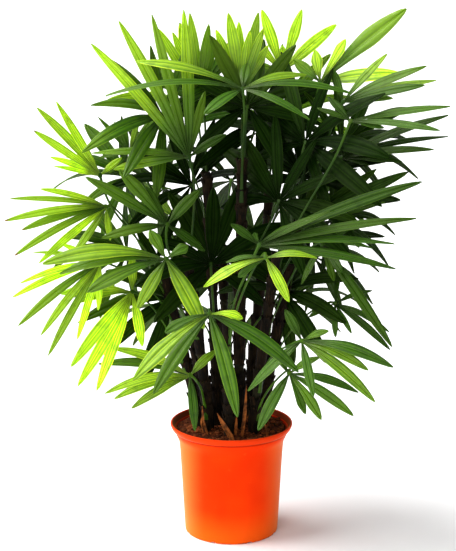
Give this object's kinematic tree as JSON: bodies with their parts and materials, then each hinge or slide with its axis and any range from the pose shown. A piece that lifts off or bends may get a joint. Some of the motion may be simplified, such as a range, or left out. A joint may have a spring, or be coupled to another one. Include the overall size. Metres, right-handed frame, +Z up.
{
  "type": "potted lady palm",
  "caption": "Potted lady palm: fan-shaped green fronds on slim fibrous canes in a flared orange plastic nursery pot of peat.",
  "frame": {"origin": "centre of the pot's flat base, on the surface it stands on", "axes": "+Z up the pot and the plant; -Y towards the viewer of the picture; +X to the viewer's right"},
  "size_m": [0.8285, 0.731, 1.04],
  "materials": {
    "pot": "satin",
    "peat": "matte",
    "cane": "matte",
    "leaf": "satin"
  },
  "bodies": {
    "root": {"pot": "pot", "soil": "peat", "cane_01": "cane", "cane_02": "cane", "cane_03": "cane", "cane_04": "cane", "cane_05": "cane", "cane_06": "cane", "cane_07": "cane", "cane_08": "cane", "cane_09": "cane", "cane_10": "cane", "frond_01": "leaf", "frond_02": "leaf", "frond_03": "leaf", "frond_04": "leaf", "frond_05": "leaf", "frond_06": "leaf", "frond_07": "leaf", "frond_08": "leaf", "frond_09": "leaf", "frond_10": "leaf", "frond_11": "leaf", "frond_12": "leaf", "frond_13": "leaf", "frond_14": "leaf", "frond_15": "leaf", "frond_16": "leaf", "frond_17": "leaf", "frond_18": "leaf", "frond_19": "leaf", "frond_20": "leaf", "frond_21": "leaf", "frond_22": "leaf", "frond_23": "leaf", "frond_24": "leaf", "frond_25": "leaf", "frond_26": "leaf", "frond_27": "leaf", "frond_28": "leaf", "frond_29": "leaf", "frond_30": "leaf", "frond_31": "leaf", "frond_32": "leaf", "frond_33": "leaf", "frond_34": "leaf", "frond_35": "leaf", "frond_36": "leaf", "frond_37": "leaf", "frond_38": "leaf", "frond_39": "leaf", "frond_40": "leaf", "frond_41": "leaf", "frond_42": "leaf", "frond_43": "leaf", "frond_44": "leaf", "frond_45": "leaf", "frond_46": "leaf", "frond_47": "leaf", "frond_48": "leaf"}
  },
  "joints": []
}
